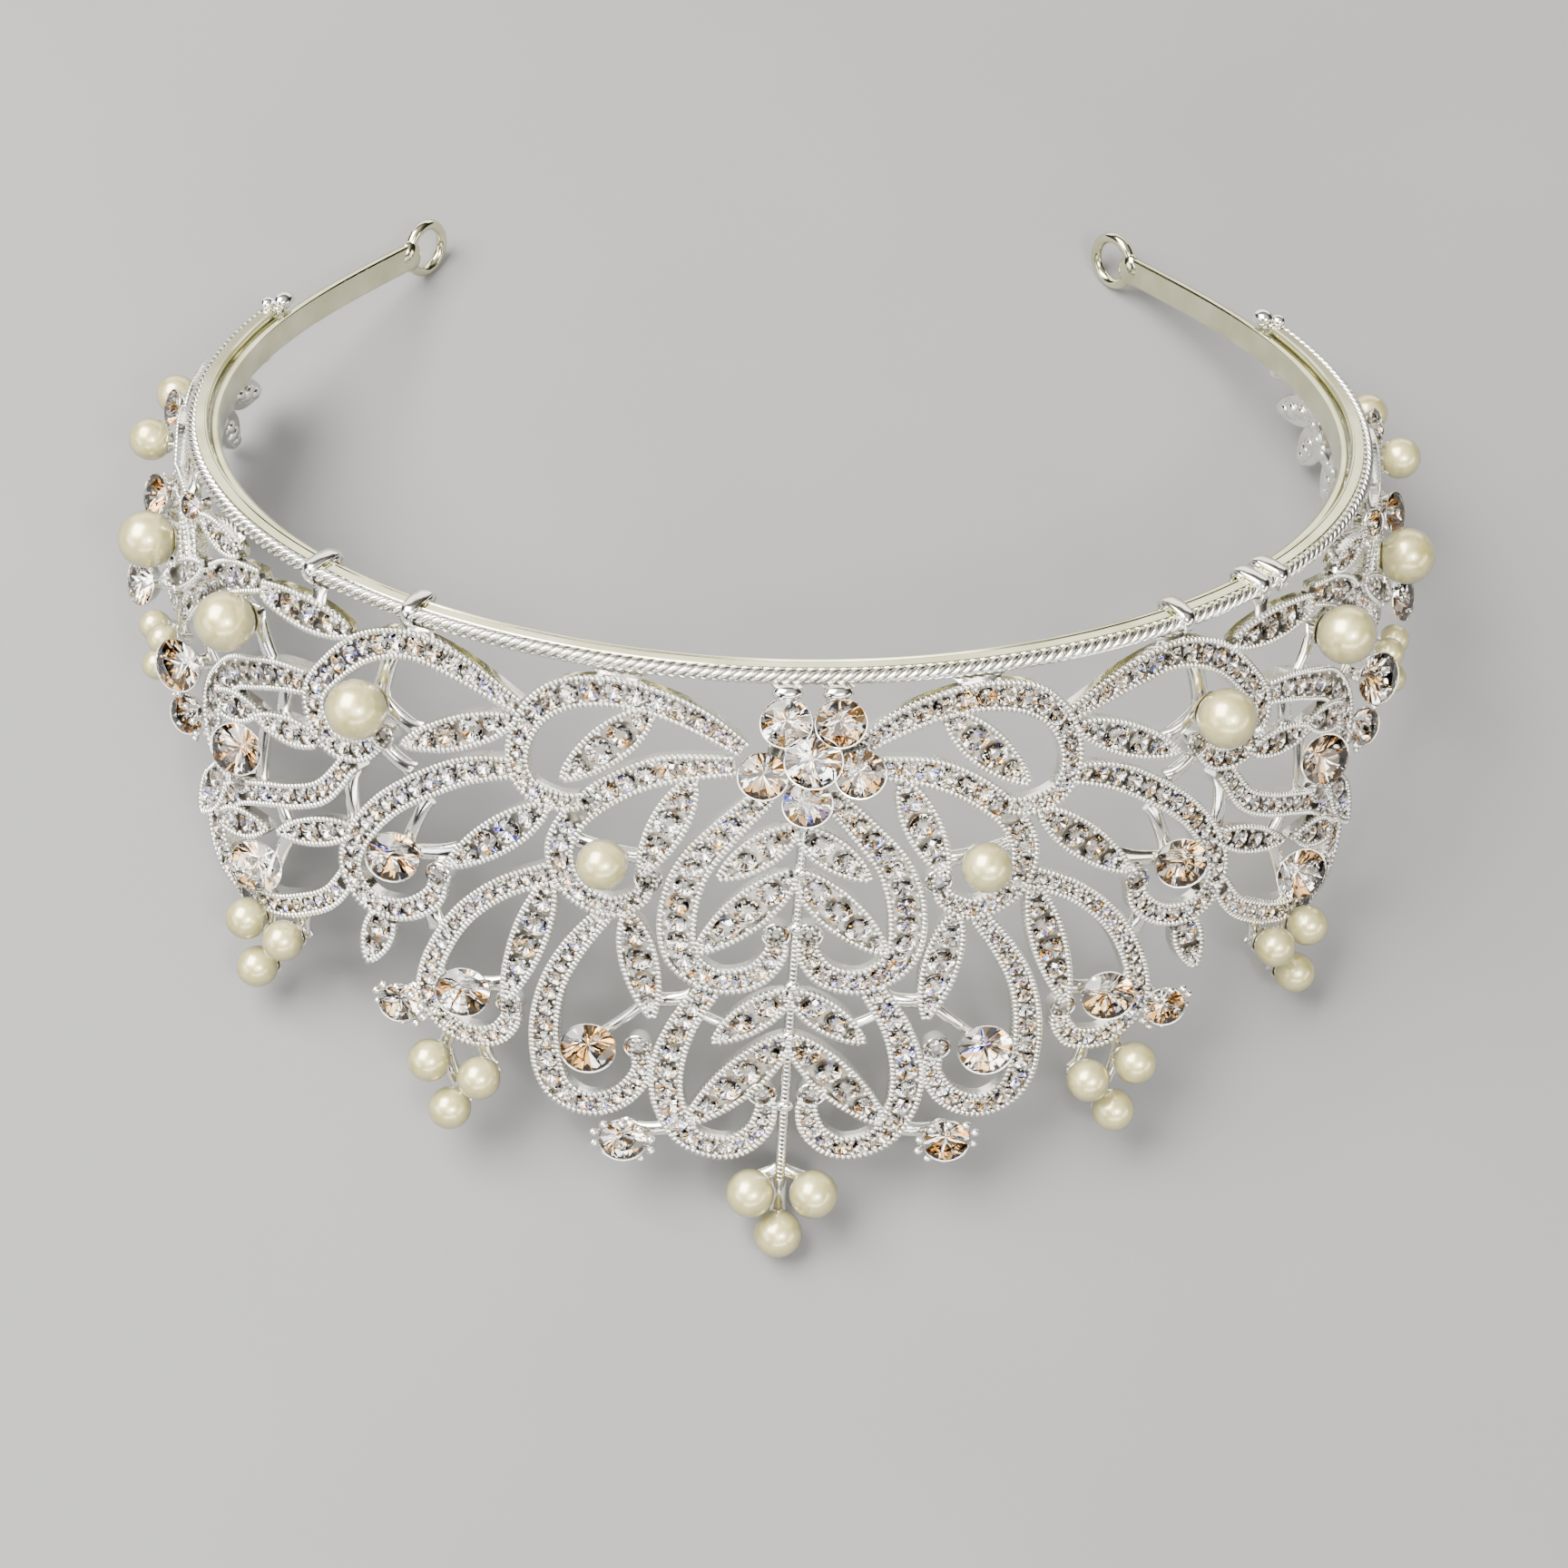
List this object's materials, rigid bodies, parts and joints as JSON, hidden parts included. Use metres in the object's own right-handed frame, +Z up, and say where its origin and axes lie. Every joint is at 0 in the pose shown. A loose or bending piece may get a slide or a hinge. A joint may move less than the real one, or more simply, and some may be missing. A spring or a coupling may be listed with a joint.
{
  "type": "pearl tiara",
  "caption": "Pierced silver-plated tiara of scrolls and leaves, set with pearls and cut crystals on a curved open headband, lying upside down as it rests by itself.",
  "frame": {"origin": "centre of the footprint box, on the table under the tiara as it rests upside down", "axes": "+X along the widest spread, -Y towards the tip of the crest, +Z up from the table"},
  "size_m": [0.1694, 0.1516, 0.06],
  "materials": {
    "silver_plate": "bright silver plate over a casting, slightly warm",
    "bright_silver": "polished flat silver-plated strip",
    "cut_crystal": "clear faceted stones in polished settings",
    "cream_pearl": "cream-ivory nacre, soft gloss"
  },
  "bodies": {
    "root": {"crest": "silver_plate", "headband": "bright_silver", "rope_rail": "silver_plate", "clamp_left": "silver_plate", "clamp_right": "silver_plate", "flower": "cut_crystal", "large_stone_1_left": "cut_crystal", "large_stone_2_left": "cut_crystal", "large_stone_3_left": "cut_crystal", "large_stone_1_right": "cut_crystal", "large_stone_2_right": "cut_crystal", "large_stone_3_right": "cut_crystal", "claw_stone_1_left": "cut_crystal", "claw_stone_2_left": "cut_crystal", "claw_stone_1_right": "cut_crystal", "claw_stone_2_right": "cut_crystal", "hook_pearl_left": "cream_pearl", "hook_pearl_right": "cream_pearl", "side_pearl_1_left": "cream_pearl", "side_pearl_2_left": "cream_pearl", "side_pearl_3_left": "cream_pearl", "side_pearl_4_left": "cream_pearl", "side_pearl_5_left": "cream_pearl", "side_pearl_1_right": "cream_pearl", "side_pearl_2_right": "cream_pearl", "side_pearl_3_right": "cream_pearl", "side_pearl_4_right": "cream_pearl", "side_pearl_5_right": "cream_pearl", "drop_pearl_1_left": "cream_pearl", "drop_pearl_2_left": "cream_pearl", "drop_pearl_3_left": "cream_pearl", "drop_pearl_1_right": "cream_pearl", "drop_pearl_2_right": "cream_pearl", "drop_pearl_3_right": "cream_pearl", "outer_drop_pearl_1_left": "cream_pearl", "outer_drop_pearl_2_left": "cream_pearl", "outer_drop_pearl_3_left": "cream_pearl", "outer_drop_pearl_1_right": "cream_pearl", "outer_drop_pearl_2_right": "cream_pearl", "outer_drop_pearl_3_right": "cream_pearl", "rear_pearl_1_left": "cream_pearl", "rear_pearl_2_left": "cream_pearl", "rear_pearl_3_left": "cream_pearl", "rear_pearl_1_right": "cream_pearl", "rear_pearl_2_right": "cream_pearl", "rear_pearl_3_right": "cream_pearl", "tip_pearl_left": "cream_pearl", "tip_pearl_right": "cream_pearl", "tip_pearl_low": "cream_pearl"}
  },
  "joints": []
}
